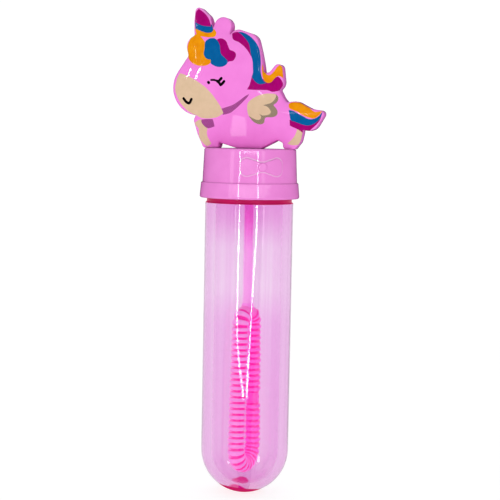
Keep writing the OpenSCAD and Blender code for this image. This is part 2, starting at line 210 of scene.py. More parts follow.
def smooth_line(points, closed, step=0.4):
    """A curve through a few points, which keeps a point as a corner where the outline turns sharply."""
    pts = np.array(points, float)
    count = len(pts)
    tangent = np.zeros_like(pts)
    corner = np.zeros(count, bool)
    for k in range(count):
        if not closed and k in (0, count - 1):
            corner[k] = True
            continue
        before = pts[k] - pts[k - 1]
        after = pts[(k + 1) % count] - pts[k]
        turn = abs(math.atan2(before[0] * after[1] - before[1] * after[0], before @ after))
        corner[k] = turn > CORNER_TURN
        tangent[k] = (pts[(k + 1) % count] - pts[k - 1]) / (np.linalg.norm(before) + np.linalg.norm(after))
    line = []
    for k in range(count if closed else count - 1):
        a = pts[k]
        b = pts[(k + 1) % count]
        chord = b - a
        length = np.linalg.norm(chord)
        out = chord if corner[k] else tangent[k] * length
        into = chord if corner[(k + 1) % count] else tangent[(k + 1) % count] * length
        steps = max(2, round(length / step))
        for t in np.arange(steps) / steps:
            h1 = 2 * t ** 3 - 3 * t ** 2 + 1
            h2 = t ** 3 - 2 * t ** 2 + t
            h3 = -2 * t ** 3 + 3 * t ** 2
            h4 = t ** 3 - t ** 2
            line.append(h1 * a + h2 * out + h3 * b + h4 * into)
    if not closed:
        line.append(pts[-1])
    return np.array(line)


def stroke_outline(points, half):
    """The closed outline of a line drawn with a round pen."""
    line = smooth_line(points, False, 0.25)
    along = np.gradient(line, axis=0)
    along /= np.linalg.norm(along, axis=1)[:, None]
    side = np.stack([-along[:, 1], along[:, 0]], axis=1) * half
    start = math.atan2(side[0][1], side[0][0])
    end = math.atan2(-side[-1][1], -side[-1][0])
    turns = np.linspace(0, math.pi, 6)[1:-1]
    head = [line[0] + half * np.array([math.cos(start + t), math.sin(start + t)]) for t in turns]
    tail = [line[-1] + half * np.array([math.cos(end + t), math.sin(end + t)]) for t in turns]
    return np.array(list((line + side)[::-1]) + head + list(line - side) + tail)


def inside(points, polygon):
    """Which of the points lie inside a closed polygon."""
    x = points[:, 0][:, None]
    z = points[:, 1][:, None]
    a = polygon
    b = np.roll(polygon, -1, axis=0)
    crosses = (a[:, 1] > z) != (b[:, 1] > z)
    rise = np.where(b[:, 1] == a[:, 1], 1.0, b[:, 1] - a[:, 1])
    at = a[:, 0] + (z - a[:, 1]) * (b[:, 0] - a[:, 0]) / rise
    return (crosses & (x < at)).sum(axis=1) % 2 == 1


def distance(points, polygons):
    """Distance of each point from the nearest side of the closed polygons."""
    best = np.full(len(points), 1e9)
    for polygon in polygons:
        a = polygon
        d = np.roll(polygon, -1, axis=0) - a
        square = np.maximum((d ** 2).sum(axis=1), 1e-12)
        for start in range(0, len(points), 500):
            part = points[start:start + 500]
            t = ((part[:, None] - a) * d).sum(axis=2) / square
            near = a + np.clip(t, 0, 1)[:, :, None] * d
            best[start:start + 500] = np.minimum(
                best[start:start + 500], np.sqrt(((part[:, None] - near) ** 2).sum(axis=2)).min(axis=1))
    return best


def figure_outlines():
    """The figure's outline, cut from its front solid halfway up the wall, as smooth closed polygons."""
    mesh = bmesh.new()
    mesh.from_mesh(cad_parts["topper_front"].data)
    bmesh.ops.remove_doubles(mesh, verts=mesh.verts, dist=1e-6)
    cut = bmesh.ops.bisect_plane(mesh, geom=mesh.verts[:] + mesh.edges[:] + mesh.faces[:], dist=1e-7,
                                 plane_co=(0, -EDGE_HALF / 2 * MM, 0), plane_no=(0, 1, 0))["geom_cut"]
    near = {}
    for edge in cut:
        if isinstance(edge, bmesh.types.BMEdge):
            for one, other in (tuple(edge.verts), tuple(reversed(edge.verts))):
                near.setdefault(one.index, []).append(other.index)
    mesh.verts.ensure_lookup_table()
    place = {v.index: (v.co.x / MM, v.co.z / MM - CAP_TOP) for v in mesh.verts}
    mesh.free()
    loops = []
    left = dict(near)
    while left:
        start = next(iter(left))
        path = [start]
        came = None
        here = start
        while True:
            ways = [n for n in left.pop(here, []) if n != came and n in left]
            if not ways:
                break
            came = here
            here = ways[0]
            path.append(here)
        loop = np.array([place[n] for n in path])
        loop = loop[loop[:, 1] > -0.01]
        after = np.roll(loop, -1, axis=0)
        area = abs((loop[:, 0] * after[:, 1] - loop[:, 1] * after[:, 0]).sum()) / 2
        if area > LEAST_GAP:
            loops.append(loop)
    return loops


def even_line(polygon, step):
    """The same closed polygon with points at even steps, its facets smoothed out."""
    sides = np.linalg.norm(np.roll(polygon, -1, axis=0) - polygon, axis=1)
    reach = np.concatenate([[0], np.cumsum(sides)])
    count = int(round(reach[-1] / step))
    closed = np.vstack([polygon, polygon[:1]])
    at = np.linspace(0, reach[-1], count, endpoint=False)
    line = np.stack([np.interp(at, reach, closed[:, k]) for k in (0, 1)], axis=1)
    foot = line[:, 1] < 0.05
    for share in [0.5, -0.52] * 9:
        pull = (np.roll(line, 1, axis=0) + np.roll(line, -1, axis=0)) / 2 - line
        pull[foot, 1] = 0
        line = line + share * pull
    return line


outlines = [even_line(loop, OUTLINE_STEP) for loop in figure_outlines()]


def solve_crown(points, triangles, fixed):
    """Height of an evenly blown-up sheet held at its rim, by finite elements and conjugate gradients."""
    a, b, c = (points[triangles[:, k]] for k in range(3))
    area = np.abs((b[:, 0] - a[:, 0]) * (c[:, 1] - a[:, 1]) - (b[:, 1] - a[:, 1]) * (c[:, 0] - a[:, 0])) / 2
    area = np.maximum(area, 1e-7)
    rows, cols, vals = [], [], []
    for i, j, k in ((0, 1, 2), (1, 2, 0), (2, 0, 1)):
        u = points[triangles[:, i]] - points[triangles[:, k]]
        v = points[triangles[:, j]] - points[triangles[:, k]]
        weight = (u * v).sum(axis=1) / (4 * area)
        rows += [triangles[:, i], triangles[:, j]]
        cols += [triangles[:, j], triangles[:, i]]
        vals += [weight, weight]
    rows, cols, vals = (np.concatenate(x) for x in (rows, cols, vals))
    count = len(points)
    diagonal = np.bincount(rows, vals, count)
    load = np.bincount(triangles.ravel(), np.repeat(area / 3, 3), count)
    free = ~fixed
    diagonal[diagonal <= 0] = 1

    def apply(x):
        return np.where(free, diagonal * x - np.bincount(rows, vals * x[cols], count), 0)

    height = np.zeros(count)
    rest = np.where(free, load, 0)
    scaled = rest / diagonal
    way = scaled.copy()
    for _ in range(600):
        moved = apply(way)
        bend = way @ moved
        if abs(bend) < 1e-18:
            break
        size = (rest @ scaled) / bend
        height += size * way
        new = rest - size * moved
        new_scaled = new / diagonal
        way = new_scaled + way * ((new @ new_scaled) / (rest @ scaled))
        rest = new
        scaled = new_scaled
    return np.maximum(height, 0)


def within(points):
    """Which points lie inside the figure."""
    count = np.zeros(len(points), int)
    for polygon in outlines:
        count += inside(points, polygon)
    return count % 2 == 1


def figure_sheet():
    """Points, triangles, printed area of each triangle, and height of the figure's face above the seam."""
    areas = [(kind, smooth_line(points, True)) for kind, points in PRINT]
    areas += [("ink", stroke_outline(points, half)) for half, points in STROKES]
    everything = np.vstack(outlines)
    rings = []
    for polygon in outlines:
        along = np.roll(polygon, -1, axis=0) - np.roll(polygon, 1, axis=0)
        normal = np.stack([-along[:, 1], along[:, 0]], axis=1) / np.linalg.norm(along, axis=1)[:, None]
        for off in RIM_RINGS:
            for sign in (1, -1):
                ring = polygon + sign * normal * off
                keep = within(ring) & (distance(ring, outlines) > RIM_LEAST * off)
                rings.append(ring[keep])
    low = everything.min(axis=0)
    high = everything.max(axis=0)
    grid = []
    for row, z in enumerate(np.arange(low[1], high[1], FACE_PITCH * FACE_ROW)):
        for x in np.arange(low[0] + (row % 2) * FACE_PITCH / 2, high[0], FACE_PITCH):
            grid.append((x, z))
    grid = np.array(grid)
    grid = grid[within(grid)]
    grid = grid[distance(grid, outlines) > RIM_CLEAR]
    loose = np.vstack(rings + [grid])
    loose = loose[distance(loose, [line for _, line in areas]) > PRINT_CLEAR]
    points = [tuple(p) for p in loose]
    edges = []
    for polygon in outlines + [line for _, line in areas]:
        first = len(points)
        points += [tuple(p) for p in polygon]
        edges += [(first + k, first + (k + 1) % len(polygon)) for k in range(len(polygon))]
    made = delaunay_2d_cdt([Vector(p) for p in points], edges, [], 0, 1e-5)
    spots = np.array([tuple(v) for v in made[0]])
    faces = np.array([list(f) for f in made[2]])
    middles = spots[faces].mean(axis=1)
    keep = within(middles)
    faces = faces[keep]
    middles = middles[keep]
    used, back = np.unique(faces, return_inverse=True)
    spots = spots[used]
    faces = back.reshape(-1, 3)
    kinds = np.array(["pink"] * len(faces), dtype=object)
    for kind, line in areas:
        kinds[inside(middles, line)] = kind
    away = distance(spots, outlines)
    rim = away < 1e-4
    crown = solve_crown(spots, faces, rim)
    round_in = np.clip(away, 0, EDGE_FILLET)
    fillet = np.sqrt(np.maximum(EDGE_FILLET ** 2 - (EDGE_FILLET - round_in) ** 2, 0))
    height = EDGE_HALF - EDGE_FILLET + fillet + CROWN * (crown / crown.max()) ** CROWN_POWER
    return spots, faces, kinds, height


def rim_loops(faces):
    """The border of a sheet of faces as pairs of points, each in its face's direction."""
    seen = {}
    for face in faces:
        for k in range(len(face)):
            seen[(face[k], face[(k + 1) % len(face)])] = True
    return [pair for pair in seen if (pair[1], pair[0]) not in seen]


def put(name, data):
    """Puts a mesh, camera or light into the scene as a named object."""
    item = bpy.data.objects.new(name, data)
    bpy.context.scene.collection.objects.link(item)
    return item


def smooth(mesh, sharp=None):
    """Smooth shading, with edges kept sharp above an angle in degrees."""
    for polygon in mesh.polygons:
        polygon.use_smooth = True
    if sharp:
        mesh.set_sharp_from_angle(angle=math.radians(sharp))


def figure_half(name, side, sheet, palette):
    """One moulded half: face, fillet, wall, seam chamfer and flat seam, as a closed mesh."""
    spots, faces, kinds, height = sheet
    out = [(x, side * h, z) for (x, z), h in zip(spots, height)]
    polygons = []
    for face in faces:
        a, b, c = face
        flip = (spots[b][0] - spots[a][0]) * (spots[c][1] - spots[a][1]) - \
               (spots[b][1] - spots[a][1]) * (spots[c][0] - spots[a][0]) < 0
        polygons.append([a, c, b] if flip else [a, b, c])
    kind_of = list(kinds)
    border = rim_loops(polygons)
    after = {a: b for a, b in border}
    before = {b: a for a, b in border}
    wall = {}
    seam = {}
    for spot in after:
        along = spots[after[spot]] - spots[before[spot]]
        inward = np.array([-along[1], along[0]]) / max(np.linalg.norm(along), 1e-9)
        wall[spot] = len(out)
        out.append((spots[spot][0], side * (SEAM_HALF + SEAM_CHAMFER), spots[spot][1]))
        seam[spot] = len(out)
        close = spots[spot] + inward * SEAM_CHAMFER
        out.append((close[0], side * SEAM_HALF, close[1]))
    skin = list(polygons)
    for a, b in border:
        skin.append([b, a, wall[a], wall[b]])
        skin.append([wall[b], wall[a], seam[a], seam[b]])
        kind_of += ["pink", "pink"]
    flat_points = [Vector((out[seam[s]][0], out[seam[s]][2])) for s in after]
    flat_ids = [seam[s] for s in after]
    order = {s: k for k, s in enumerate(after)}
    made = delaunay_2d_cdt(flat_points, [(order[a], order[b]) for a, b in border], [], 1, 1e-7)
    if len(made[0]) == len(flat_points):
        source = [flat_ids[ids[0]] for ids in made[3]]
        for face in made[2]:
            a, b, c = (source[k] for k in face)
            skin.append([a, c, b])
            kind_of.append("pink")
    if side > 0:
        skin = [face[::-1] for face in skin]
    mesh = bpy.data.meshes.new(name)
    mesh.from_pydata([(x * MM, y * MM, (z + CAP_TOP) * MM) for x, y, z in out], [], skin)
    names = list(palette)
    for key in names:
        mesh.materials.append(palette[key])
    for polygon, kind in zip(mesh.polygons, kind_of):
        polygon.material_index = names.index(kind) if kind in names else 0
    mesh.validate()
    mesh.update()
    smooth(mesh, FACE_SHARP)
    return put(name, mesh)


def loop_mesh(name, material):
    """The stem and the long ribbed loop, with round ribs drawn along one bent bar."""
    foot_r = (LOOP_W - BAR_W) / 2
    top_r = (LOOP_TOP_W - BAR_W) / 2
    low = LOOP_FOOT + LOOP_W / 2
    high = LOOP_FOOT + LOOP_H - LOOP_TOP_W / 2
    lean = math.asin((foot_r - top_r) / (high - low))
    run = (high - low) * math.cos(lean)
    run_y = foot_r * math.cos(lean)
    run_z = low + foot_r * math.sin(lean)
    top_turn = (math.pi - 2 * lean) * top_r
    foot_turn = (math.pi + 2 * lean) * foot_r
    total = 2 * run + top_turn + foot_turn

    def bar_at(s):
        """Direction away from the loop's middle, and centre of the bar, at a length along it."""
        if s < run:
            return lean, run_y - s * math.sin(lean), run_z + s * math.cos(lean)
        if s < run + top_turn:
            angle = lean + (s - run) / top_r
            return angle, top_r * math.cos(angle), high + top_r * math.sin(angle)
        if s < 2 * run + top_turn:
            left = 2 * run + top_turn - s
            return math.pi - lean, left * math.sin(lean) - run_y, run_z + left * math.cos(lean)
        angle = math.pi - lean + (s - 2 * run - top_turn) / foot_r
        return angle, foot_r * math.cos(angle), low + foot_r * math.sin(angle)

    run_ribs = int(run / RIB_PITCH)
    top_ribs = int(top_turn / RIB_PITCH)
    foot_ribs = int(foot_turn / RIB_PITCH)
    plain = LOOP_FOOT + PLAIN_FROM
    middles = []
    for k in range(run_ribs):
        along = run * (k + 0.5) / run_ribs
        middles.append(run + top_turn + run - along)
        if not plain <= run_z + along * math.cos(lean) <= plain + PLAIN_H:
            middles.append(along)
    for k in range(top_ribs):
        angle = lean + (math.pi - 2 * lean) * (k + 0.5) / top_ribs
        if abs(top_r * math.cos(angle)) > STEM_R + RIB_T:
            middles.append(run + top_turn * (k + 0.5) / top_ribs)
    for k in range(foot_ribs):
        middles.append(2 * run + top_turn + foot_turn * (k + 0.5) / foot_ribs)
    middles = np.array(middles)

    steps = int(total / BAR_STEP)
    core = BAR_W / 2 - RIB_H
    half_rib = RIB_SPREAD * RIB_T
    rolls = [2 * math.pi * j / BAR_SIDES for j in range(BAR_SIDES)]
    verts = []
    faces = []
    ribs = []
    turn_z = Matrix.Rotation(math.radians(LOOP_TURN), 3, "Z")
    for k in range(steps):
        s = total * k / steps
        angle, centre_y, centre_z = bar_at(s)
        gap = np.abs((middles - s + total / 2) % total - total / 2).min()
        rib = math.sqrt(max(0.0, 1 - (gap / half_rib) ** 2))
        radius = core + RIB_H * rib
        for j, roll in enumerate(rolls):
            reach = radius * math.cos(roll)
            spot = Vector((radius * math.sin(roll), centre_y + reach * math.cos(angle),
                           centre_z + reach * math.sin(angle)))
            verts.append(turn_z @ spot * MM)
            # The rib value, with a middle tone on the plain stretch, later sets painted highlights on crests
            # and painted shade in grooves
            ribs.append(rib if gap < RIB_PITCH * PLAIN_GAP else PLAIN_SHADE)
            here = k * BAR_SIDES
            ahead = (k + 1) % steps * BAR_SIDES
            beside = (j + 1) % BAR_SIDES
            faces.append((here + j, here + beside, ahead + beside, ahead + j))

    stem_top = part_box("wand")[1].z / MM
    stem_low = LOOP_FOOT + LOOP_H - BAR_W / 2
    flare_low = stem_low + STEM_FOOT_H
    rings = [(stem_low, 0.0), (stem_low, STEM_R + STEM_FOOT), (flare_low, STEM_R + STEM_FLARE)]
    for t in (0.25, 0.5, 0.75, 1):
        rings.append((flare_low + STEM_FLARE_H * t, STEM_R + STEM_FLARE * (1 - t) ** 2))
    rings += [(stem_low + (stem_top - stem_low) * t, STEM_R) for t in (0.2, 0.4, 0.6, 0.8)]
    rings += [(stem_top - STEM_BEVEL, STEM_R), (stem_top, STEM_R - STEM_BEVEL), (stem_top, 0.0)]
    first = len(verts)
    for z, radius in rings:
        for roll in rolls:
            verts.append(Vector((radius * math.cos(roll), radius * math.sin(roll), z)) * MM)
            ribs.append(1.0)
    for k in range(len(rings) - 1):
        for j in range(BAR_SIDES):
            a = first + k * BAR_SIDES + j
            b = first + k * BAR_SIDES + (j + 1) % BAR_SIDES
            faces.append((a, b, b + BAR_SIDES, a + BAR_SIDES))
    mesh = bpy.data.meshes.new(name)
    mesh.from_pydata(verts, [], faces)
    mesh.attributes.new("rib", "FLOAT", "POINT").data.foreach_set("value", ribs)
    clean = bmesh.new()
    clean.from_mesh(mesh)
    bmesh.ops.remove_doubles(clean, verts=clean.verts, dist=1e-7)
    bmesh.ops.recalc_face_normals(clean, faces=clean.faces)
    clean.to_mesh(mesh)
    clean.free()
    smooth(mesh, BAR_SHARP)
    mesh.materials.append(material)
    return put(name, mesh)


def bow_mesh(name, material):
    """The raised bow with its round knot, lying on the skirt and rooted in the wall, as a closed mesh."""
    tip_r = BOW_H / 3
    tip_x = BOW_W / 2 - tip_r
    tip_z = BOW_H / 2 - tip_r
    turns = np.radians(np.arange(-100, 1, 10))
    lower = [(tip_x + tip_r * math.cos(t), tip_r * math.sin(t) - tip_z) for t in turns]
    loop_side = [(0, -BOW_WAIST / 2)] + lower + [(x, -z) for x, z in lower[::-1]] + [(0, BOW_WAIST / 2)]
    outline = np.array(loop_side + [(-x, z) for x, z in loop_side[-2:0:-1]])
    across = np.arange(-BOW_W / 2 - BOW_MARGIN, BOW_W / 2 + BOW_MARGIN, BOW_PITCH)
    upward = np.arange(-BOW_H / 2 - BOW_MARGIN, BOW_H / 2 + BOW_MARGIN, BOW_PITCH)
    spots = np.array([(x, z) for z in upward for x in across])
    depth = distance(spots, [outline]) * np.where(inside(spots, outline), 1, -1)
    knot = KNOT_R - np.hypot(spots[:, 0], spots[:, 1])
    slope = np.clip((depth + BOW_EDGE_OUT) / BOW_EDGE, 0, 1)
    height = BOW_ROOT + (BOW_RAISE - BOW_ROOT) * np.sin(slope * math.pi / 2)
    dome = np.clip(knot / KNOT_ROUND, 0, 1)
    height = np.where(knot > 0, np.maximum(height, KNOT_RAISE * np.sqrt(1 - (1 - dome) ** 2)), height)
    keep = (depth > -BOW_SPILL) | (knot > -KNOT_SPILL)
    wide = len(across)
    top = []
    for row in range(len(upward) - 1):
        for k in range(wide - 1):
            face = [row * wide + k, row * wide + k + 1, (row + 1) * wide + k + 1, (row + 1) * wide + k]
            if keep[face].any():
                top.append(face)
    count = len(spots)
    faces = top + [[v + count for v in face[::-1]] for face in top]
    faces += [[b, a, a + count, b + count] for a, b in rim_loops(top)]
    verts = []
    for lift in (height, np.full(count, 2 * BOW_ROOT)):
        for (x, z), rise in zip(spots, lift):
            share = (BOW_Z + z - SKIRT_FOOT) / (CAP_TOP - SKIRT_FOOT)
            radius = SKIRT_FOOT_R + (SKIRT_TOP_R - SKIRT_FOOT_R) * share
            turn = math.radians(BOW_TURN) + math.asin(x / radius)
            verts.append(((radius + rise) * math.sin(turn) * MM, -(radius + rise) * math.cos(turn) * MM,
                          (BOW_Z + z) * MM))
    mesh = bpy.data.meshes.new(name)
    mesh.from_pydata(verts, [], faces)
    clean = bmesh.new()
    clean.from_mesh(mesh)
    bmesh.ops.delete(clean, geom=[v for v in clean.verts if not v.link_faces], context="VERTS")
    clean.to_mesh(mesh)
    clean.free()
    smooth(mesh)
    mesh.materials.append(material)
    return put(name, mesh)


class NodeMaterial:
    """A node material, with short ways to add nodes and to feed them with values or other nodes' outputs."""

    def __init__(self, name):
        self.material = bpy.data.materials.new(name)
        self.material.use_nodes = True
        self.tree = self.material.node_tree
        self.shader = self.tree.nodes["Principled BSDF"]

    def plug(self, socket, value):
        """Feeds one input with a value or with another node's output."""
        if isinstance(value, bpy.types.NodeSocket):
            self.tree.links.new(value, socket)
        else:
            socket.default_value = value

    def feed(self, node, **settings):
        """Feeds a node's inputs by name, with _ for a space, and sets its other settings."""
        for key, value in settings.items():
            name = key.replace("_", " ")
            if name in node.inputs:
                self.plug(node.inputs[name], value)
            else:
                setattr(node, key, value)
        return node

    def add(self, kind, **settings):
        """A new node, fed in the same way."""
        return self.feed(self.tree.nodes.new("ShaderNode" + kind), **settings)

    def noise(self, place, scale, detail, rough=0.5):
        """A soft random pattern."""
        return self.add("TexNoise", Vector=place, Scale=scale, Detail=detail, Roughness=rough).outputs["Fac"]

    def bump(self, height, strength, distance, **under):
        """A surface made uneven, over an earlier uneven one."""
        node = self.add("Bump", Strength=strength, Distance=distance, Height=height, **under)
        return node.outputs["Normal"]

    def spread(self, value, low, high, to_low=0.0, to_high=1.0):
        """A value with one range mapped onto another."""
        node = self.add("MapRange", Value=value, From_Min=low, From_Max=high, To_Min=to_low, To_Max=to_high)
        return node.outputs["Result"]

    def ramp(self, value, stops):
        """The colour at a value between colour stops."""
        node = self.add("ValToRGB", Fac=value)
        elements = node.color_ramp.elements
        elements.remove(elements[-1])
        elements[0].position = stops[0][0]
        elements[0].color = (*stops[0][1], 1)
        for position, colour in stops[1:]:
            elements.new(position).color = (*colour, 1)
        return node.outputs["Color"]

    def mix(self, share, one, other, **settings):
        """Two colours mixed."""
        node = self.add("Mix", data_type="RGBA", **settings, Factor=share, A=one, B=other)
        return node.outputs["Result"]

    def reckon(self, operation, *terms, kind="Math"):
        """The value of an operation on numbers, or on vectors."""
        node = self.add(kind, operation=operation)
        for socket, term in zip(node.inputs, terms):
            self.plug(socket, term)
        return node.outputs["Value"]

    def lay(self, share, under, colour):
        """A plain glowing colour laid over a surface."""
        node = self.add("MixShader", Fac=share)
        self.plug(node.inputs[1], under)
        self.plug(node.inputs[2], self.add("Emission", Color=colour, Strength=1.0).outputs["Emission"])
        return node.outputs["Shader"]


def moulded(name, low, high, rough, patch=180.0, grain=2600.0, bump=0.012, flow=0.0, painted_shading=0.0):
    """Glossy moulded plastic that varies from place to place, with painted shade in creases and painted
    highlights on edges.
    """
    look = NodeMaterial(name)
    place = look.add("TexCoord").outputs["Object"]
    fine = look.noise(place, grain, 2.0)
    shown = look.ramp(look.noise(place, patch, 3.0, 0.55), [(0.32, low), (0.68, high)])
    # Painted shade darkens creases and painted highlight brightens edges, both from ambient occlusion
    for within_solid, shade in ((False, 0.0), (True, 1.0)) if painted_shading else ():
        near = look.add("AmbientOcclusion", Distance=0.0005, samples=8, inside=within_solid).outputs["AO"]
        shown = look.mix(look.spread(near, 0.85, 0.5, 0.0, painted_shading), shown, (shade, shade, shade, 1))
    normal = look.bump(fine, bump, 0.0002)
    if flow:
        normal = look.bump(look.noise(place, 70.0, 1.0), flow, 0.001, Normal=normal)
    gloss = look.spread(fine, 0.0, 1.0, rough * 0.8, rough * 1.25)
    look.feed(look.shader, Base_Color=shown, Roughness=gloss, Normal=normal)
    return look.material


def hatched(name, dark, light, rough, period=0.00038):
    """Printed tint of fine slanted lines over a paler ground."""
    look = NodeMaterial(name)
    place = look.add("TexCoord").outputs["Object"]
    slanted = look.add("Mapping", Vector=place, Rotation=(0, math.radians(52), 0)).outputs["Vector"]
    lines = look.add("TexWave", Vector=slanted, Scale=2 * math.pi / (20 * period), Distortion=0.6, Detail=1.0,
                     bands_direction="X").outputs["Fac"]
    normal = look.bump(look.noise(place, 2600.0, 2.0), 0.012, 0.0002)
    shown = look.ramp(lines, [(0.3, dark), (0.75, light)])
    look.feed(look.shader, Base_Color=shown, Roughness=rough, Normal=normal)
    return look.material


def clear_tube(name):
    """Tinted clear plastic with soft streaks along it, a crimson glow along the bottom that is painted light,
    and a gate mark in its own colour that glows as painted light.
    """
    look = NodeMaterial(name)
    place = look.add("TexCoord").outputs["Object"]

    # Tint that changes with the height, pinker near the cap partly as a painted reflection of the pink cap,
    # and streaks along the tube
    height = look.spread(look.add("SeparateXYZ", Vector=place).outputs["Z"], 0.0, 0.11)
    tint = look.ramp(height, [(0.0, (0.92, 0.64, 0.86)), (0.12, (0.98, 0.85, 0.96)),
                              (0.3, (0.98, 0.84, 0.96)), (0.5, (0.98, 0.86, 0.97)), (0.6, (1, 1, 1)),
                              (0.72, (0.99, 0.97, 0.99)), (0.8, (0.955, 0.76, 0.93)),
                              (0.846, (0.94, 0.69, 0.91))])
    long = look.add("Mapping", Vector=place, Scale=(330, 330, 5)).outputs["Vector"]
    streak = look.ramp(look.noise(long, 1.0, 3.0, 0.6), [(0.36, (0.96, 0.8, 0.95)), (0.58, (1, 1, 1))])
    shown = look.mix(1.0, tint, streak, blend_type="MULTIPLY")

    # Painted light: a crimson glow on the outer skin of the bottom, below a slightly sloped level, on front
    # faces only
    level = look.reckon("DOT_PRODUCT", place, GLOW_SLOPE, kind="VectorMath")
    away = look.reckon("DISTANCE", place, (0, 0, TUBE_R * MM), kind="VectorMath")
    outer = look.reckon("GREATER_THAN", away, TUBE_R * MM - EDGE_DEPTH)
    front = look.reckon("SUBTRACT", 1.0, look.add("NewGeometry").outputs["Backfacing"])
    seen = look.reckon("MULTIPLY", outer, front)
    edge = look.reckon("MULTIPLY", seen, look.spread(level, GLOW_CLEAR, GLOW_FULL))

    # Gate mark on the inner skin, its own colour laid on as a glow that is painted light
    oval = look.add("Mapping", Vector=place, Location=MARK_SHIFT, Scale=MARK_STRETCH).outputs["Vector"]
    gate = look.spread(look.reckon("LENGTH", oval, kind="VectorMath"), 1.0, 0.9)
    mark = look.reckon("MULTIPLY", gate, look.reckon("SUBTRACT", 1.0, outer))

    # Slightly uneven surface, both colours laid over it as glows that are painted light, and the tint of the
    # wall
    flow = look.bump(look.noise(place, 55.0, 1.5), 0.05, 0.001)
    normal = look.bump(look.noise(place, 1500.0, 1.0), 0.06, 0.0002, Normal=flow)
    look.feed(look.shader, Base_Color=shown, Transmission_Weight=1.0, Roughness=0.02, IOR=1.5, Normal=normal)
    with_gate_glow = look.lay(mark, look.shader.outputs["BSDF"], (0.82, 0.0, 0.28, 1))
    with_bottom_glow = look.lay(edge, with_gate_glow, (0.56, 0.012, 0.115, 1))
    wall = look.add("VolumeAbsorption", Density=85.0, Color=(0.76, 0.28, 0.74, 1)).outputs["Volume"]
    look.feed(look.tree.nodes["Material Output"], Surface=with_bottom_glow, Volume=wall)
    return look.material


def ribbed_pink(name):
    """Hot pink plastic that glows a little as painted light, paler on the lower stem, with painted highlights
    on rib crests and on faces turned to the left, and painted shade in grooves and on the bar away from the
    front.
    """
    look = NodeMaterial(name)
    coords = look.add("TexCoord").outputs
    axes = look.add("SeparateXYZ", Vector=coords["Object"]).outputs
    # Painted shade: the bar away from the front is deeper pink than the near bar
    far_bar_shade = look.mix(look.spread(axes["Y"], -0.004, 0.004), (1.0, 0.46, 0.86, 1), (1.0, 0.12, 0.7, 1))
    stem = look.ramp(look.spread(axes["Z"], 0.06, 0.1),
                     [(0.05, (1.0, 0.5, 0.9)), (0.42, (1.0, 0.5, 0.9)), (0.72, (1.0, 0.2, 0.76))])
    upper = look.reckon("GREATER_THAN", axes["Z"], (LOOP_FOOT + LOOP_H) * MM)
    # Painted highlight on rib crests and painted shade in grooves, from the rib value
    rib = look.add("Attribute", attribute_name="rib").outputs["Fac"]
    height = look.ramp(rib, [(0.3, (0, 0, 0)), (0.92, (1, 1, 1))])
    # Painted highlight on faces turned to the left
    side = look.reckon("DOT_PRODUCT", coords["Normal"], (0.974, 0.225, 0), kind="VectorMath")
    painted_highlight = look.reckon("MAXIMUM", height, look.spread(side, -0.5, -0.95))
    shown = look.mix(painted_highlight, (1.0, 0.0, 0.42, 1), look.mix(upper, far_bar_shade, stem))
    fine = look.noise(coords["Object"], 900.0, 2.0)
    # The glow is painted light that stands in for light reaching into the tube
    look.feed(look.shader, Base_Color=shown, Emission_Color=shown, Emission_Strength=0.46,
              Roughness=look.spread(fine, 0.0, 1.0, 0.22, 0.34), Normal=look.bump(fine, 0.03, 0.0002))
    return look.material


def collar_shade_glow(name):
    """Opaque deep crimson for the collar under the cap: painted shade of the shadowed gap under the lip seen
    through the thick tinted wall, glowing a little as painted light.
    """
    look = NodeMaterial(name)
    cloud = look.noise(look.add("TexCoord").outputs["Object"], 160.0, 2.0)
    shown = look.ramp(cloud, [(0.3, (0.42, 0.002, 0.075)), (0.7, (0.5, 0.004, 0.1))])
    look.feed(look.shader, Base_Color=shown, Emission_Color=shown, Emission_Strength=0.3, Roughness=0.4,
              Specular_IOR_Level=0.1)
    return look.material


# Materials
palette = {
    "pink": moulded("topper_pink", (0.84, 0.215, 0.68), (0.88, 0.24, 0.72), 0.03),
    "magenta": moulded("print_magenta", (0.33, 0.001, 0.135), (0.39, 0.001, 0.165), 0.09, patch=420.0),
    "blue": moulded("print_blue", (0.001, 0.095, 0.29), (0.002, 0.115, 0.34), 0.09, patch=420.0),
    "orange": moulded("print_orange", (0.76, 0.235, 0.001), (0.86, 0.33, 0.004), 0.09, patch=420.0),
    "tan": moulded("print_tan", (0.66, 0.475, 0.31), (0.71, 0.51, 0.345), 0.09, patch=420.0),
    "hatch": hatched("print_purple_hatch", (0.22, 0.03, 0.16), (0.47, 0.1, 0.36), 0.1),
    "shade": hatched("print_brown_hatch", (0.15, 0.11, 0.075), (0.44, 0.34, 0.24), 0.1),
    "ink": moulded("print_ink", (0.002, 0.0015, 0.002), (0.006, 0.004, 0.006), 0.12, patch=420.0),
}
plain_palette = {"pink": palette["pink"]}
# Cap colour with painted shade in its creases and painted highlights on its edges
cap_pink = moulded("cap_pink", (0.83, 0.24, 0.67), (0.87, 0.265, 0.71), 0.035, flow=0.008, painted_shading=0.3)
bow_pink = moulded("bow_pink", (0.83, 0.24, 0.67), (0.87, 0.265, 0.71), 0.16)
wand_pink = ribbed_pink("wand_pink")
tube_clear = clear_tube("tube_clear")
liner_foam = moulded("liner_foam", (0.78, 0.76, 0.78), (0.9, 0.88, 0.9), 0.7, patch=900.0, grain=3000.0,
                     bump=0.3)

# Pieces shown in place of their solids, the bow over its solid, and the solids that are shown themselves
sheet = figure_sheet()
front = figure_half("topper_front_look", -1, sheet, palette)
back = figure_half("topper_back_look", 1, sheet, plain_palette)
loop = loop_mesh("wand_look", wand_pink)
looks = ((front, "topper_front", "topper"), (back, "topper_back", "topper"), (loop, "wand", "wand"))
for piece, node, slot in looks:
    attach(piece, "cap")
    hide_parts(node)
bow = bow_mesh("cap_bow_look", bow_pink)
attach(bow, "cap")
for node, material in (("tube", tube_clear), ("cap", cap_pink), ("cap_liner", liner_foam)):
    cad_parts[node].data.materials.clear()
    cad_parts[node].data.materials.append(material)
